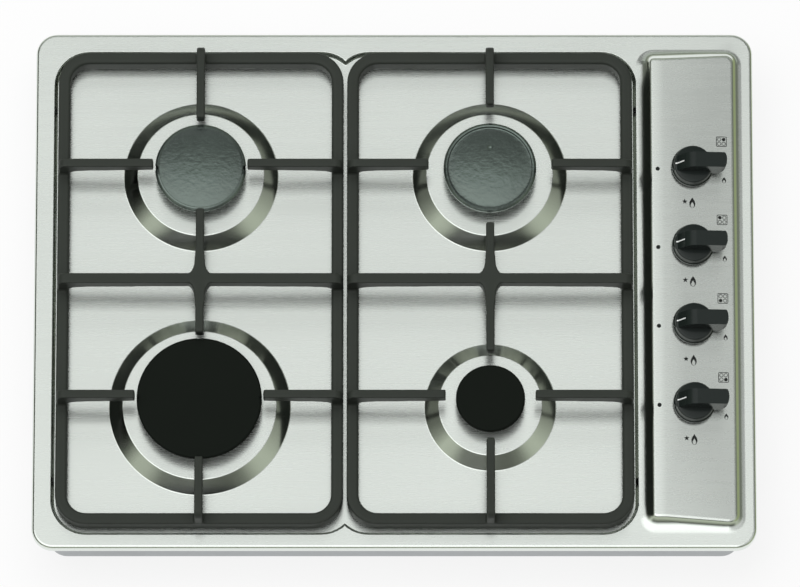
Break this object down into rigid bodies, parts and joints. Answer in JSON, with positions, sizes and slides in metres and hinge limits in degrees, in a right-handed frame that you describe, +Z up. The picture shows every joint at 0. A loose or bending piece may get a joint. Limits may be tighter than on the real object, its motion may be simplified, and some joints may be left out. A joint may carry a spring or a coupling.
{
  "type": "gas cooktop",
  "caption": "Built-in stainless gas cooktop with cast pan supports, lift-off burners and a raised side panel of push-and-turn knobs.",
  "frame": {"origin": "middle of the plate in plan, on the underside of the bottom tray", "axes": "+X to the right along the plate, +Y to the rear, +Z up out of the worktop"},
  "size_m": [0.58, 0.432, 0.097],
  "materials": {
    "brushed_stainless": "brushed along the length",
    "galvanised_steel": "dull zinc",
    "cast_iron_enamel": "satin black enamel",
    "gloss_enamel": "gloss enamel with a pebbled surface",
    "black_enamel": "matte enamel",
    "burner_aluminium": "die cast, darkened by heat",
    "pipe_aluminium": "drawn",
    "brass": "machined",
    "ceramic": "glazed",
    "seal_rubber": "soft foam rubber",
    "foot_rubber": "moulded",
    "knob_plastic": "gloss",
    "module_plastic": "matte"
  },
  "bodies": {
    "cooktop": {"cooktop_plate": "brushed_stainless", "bottom_tray": "galvanised_steel", "rim_seal": "seal_rubber", "gas_manifold": "pipe_aluminium", "gas_inlet_nipple": "brass", "spark_module": "module_plastic", "worktop_clamp_front_left": "galvanised_steel", "worktop_clamp_rear_left": "galvanised_steel", "worktop_clamp_front_right": "galvanised_steel", "worktop_clamp_rear_right": "galvanised_steel", "burner_cup_rear_left": "burner_aluminium", "injector_rear_left": "brass", "spark_electrode_rear_left": "ceramic", "gas_valve_rear_left": "brass", "burner_pipe_rear_left": "pipe_aluminium", "burner_cup_front_left": "burner_aluminium", "injector_front_left": "brass", "spark_electrode_front_left": "ceramic", "gas_valve_front_left": "brass", "burner_pipe_front_left": "pipe_aluminium", "burner_cup_rear_right": "burner_aluminium", "injector_rear_right": "brass", "spark_electrode_rear_right": "ceramic", "gas_valve_rear_right": "brass", "burner_pipe_rear_right": "pipe_aluminium", "burner_cup_front_right": "burner_aluminium", "injector_front_right": "brass", "spark_electrode_front_right": "ceramic", "gas_valve_front_right": "brass", "burner_pipe_front_right": "pipe_aluminium"},
    "left_pan_support": {"pan_support_left": "cast_iron_enamel", "foot_front_left_of_left_support": "foot_rubber", "foot_rear_left_of_left_support": "foot_rubber", "foot_front_right_of_left_support": "foot_rubber", "foot_rear_right_of_left_support": "foot_rubber"},
    "right_pan_support": {"pan_support_right": "cast_iron_enamel", "foot_front_left_of_right_support": "foot_rubber", "foot_rear_left_of_right_support": "foot_rubber", "foot_front_right_of_right_support": "foot_rubber", "foot_rear_right_of_right_support": "foot_rubber"},
    "head_rear_left": {"burner_head_rear_left": "burner_aluminium"},
    "cap_rear_left": {"burner_cap_rear_left": "gloss_enamel"},
    "head_front_left": {"burner_head_front_left": "burner_aluminium"},
    "cap_front_left": {"burner_cap_front_left": "black_enamel"},
    "head_rear_right": {"burner_head_rear_right": "burner_aluminium"},
    "cap_rear_right": {"burner_cap_rear_right": "gloss_enamel"},
    "head_front_right": {"burner_head_front_right": "burner_aluminium"},
    "cap_front_right": {"burner_cap_front_right": "black_enamel"},
    "plug_rear_right": {"valve_plug_rear_right": "brass"},
    "turning_rear_right": {"knob_rear_right": "knob_plastic", "valve_stem_rear_right": "brass"},
    "plug_rear_left": {"valve_plug_rear_left": "brass"},
    "turning_rear_left": {"knob_rear_left": "knob_plastic", "valve_stem_rear_left": "brass"},
    "plug_front_left": {"valve_plug_front_left": "brass"},
    "turning_front_left": {"knob_front_left": "knob_plastic", "valve_stem_front_left": "brass"},
    "plug_front_right": {"valve_plug_front_right": "brass"},
    "turning_front_right": {"knob_front_right": "knob_plastic", "valve_stem_front_right": "brass"}
  },
  "joints": [
    {"name": "pan_support_left_lift", "type": "slide", "parent": "cooktop", "child": "left_pan_support", "axis": [0, 0, 1], "range_m": [0, 0.15]},
    {"name": "pan_support_right_lift", "type": "slide", "parent": "cooktop", "child": "right_pan_support", "axis": [0, 0, 1], "range_m": [0, 0.15]},
    {"name": "head_rear_left_lift", "type": "slide", "parent": "cooktop", "child": "head_rear_left", "axis": [0, 0, 1], "range_m": [0, 0.1]},
    {"name": "cap_rear_left_lift", "type": "slide", "parent": "head_rear_left", "child": "cap_rear_left", "axis": [0, 0, 1], "range_m": [0, 0.08]},
    {"name": "head_front_left_lift", "type": "slide", "parent": "cooktop", "child": "head_front_left", "axis": [0, 0, 1], "range_m": [0, 0.1]},
    {"name": "cap_front_left_lift", "type": "slide", "parent": "head_front_left", "child": "cap_front_left", "axis": [0, 0, 1], "range_m": [0, 0.08]},
    {"name": "head_rear_right_lift", "type": "slide", "parent": "cooktop", "child": "head_rear_right", "axis": [0, 0, 1], "range_m": [0, 0.1]},
    {"name": "cap_rear_right_lift", "type": "slide", "parent": "head_rear_right", "child": "cap_rear_right", "axis": [0, 0, 1], "range_m": [0, 0.08]},
    {"name": "head_front_right_lift", "type": "slide", "parent": "cooktop", "child": "head_front_right", "axis": [0, 0, 1], "range_m": [0, 0.1]},
    {"name": "cap_front_right_lift", "type": "slide", "parent": "head_front_right", "child": "cap_front_right", "axis": [0, 0, 1], "range_m": [0, 0.08]},
    {"name": "knob_rear_right_turn", "type": "hinge", "parent": "cooktop", "child": "plug_rear_right", "pos_m": [0.24, 0.0987, 0.07092], "axis": [0.0701, 0, 0.9975], "range_deg": [0, 165]},
    {"name": "knob_rear_right_push", "type": "slide", "parent": "plug_rear_right", "child": "turning_rear_right", "axis": [-0.0701, 0, -0.9975], "range_m": [0, 0.0025], "stiffness_N_per_m": 2000, "springref_m": -0.002},
    {"name": "knob_rear_left_turn", "type": "hinge", "parent": "cooktop", "child": "plug_rear_left", "pos_m": [0.24, 0.0327, 0.07092], "axis": [0.0701, 0, 0.9975], "range_deg": [0, 165]},
    {"name": "knob_rear_left_push", "type": "slide", "parent": "plug_rear_left", "child": "turning_rear_left", "axis": [-0.0701, 0, -0.9975], "range_m": [0, 0.0025], "stiffness_N_per_m": 2000, "springref_m": -0.002},
    {"name": "knob_front_left_turn", "type": "hinge", "parent": "cooktop", "child": "plug_front_left", "pos_m": [0.24, -0.0333, 0.07092], "axis": [0.0701, 0, 0.9975], "range_deg": [0, 165]},
    {"name": "knob_front_left_push", "type": "slide", "parent": "plug_front_left", "child": "turning_front_left", "axis": [-0.0701, 0, -0.9975], "range_m": [0, 0.0025], "stiffness_N_per_m": 2000, "springref_m": -0.002},
    {"name": "knob_front_right_turn", "type": "hinge", "parent": "cooktop", "child": "plug_front_right", "pos_m": [0.24, -0.0993, 0.07092], "axis": [0.0701, 0, 0.9975], "range_deg": [0, 165]},
    {"name": "knob_front_right_push", "type": "slide", "parent": "plug_front_right", "child": "turning_front_right", "axis": [-0.0701, 0, -0.9975], "range_m": [0, 0.0025], "stiffness_N_per_m": 2000, "springref_m": -0.002}
  ]
}
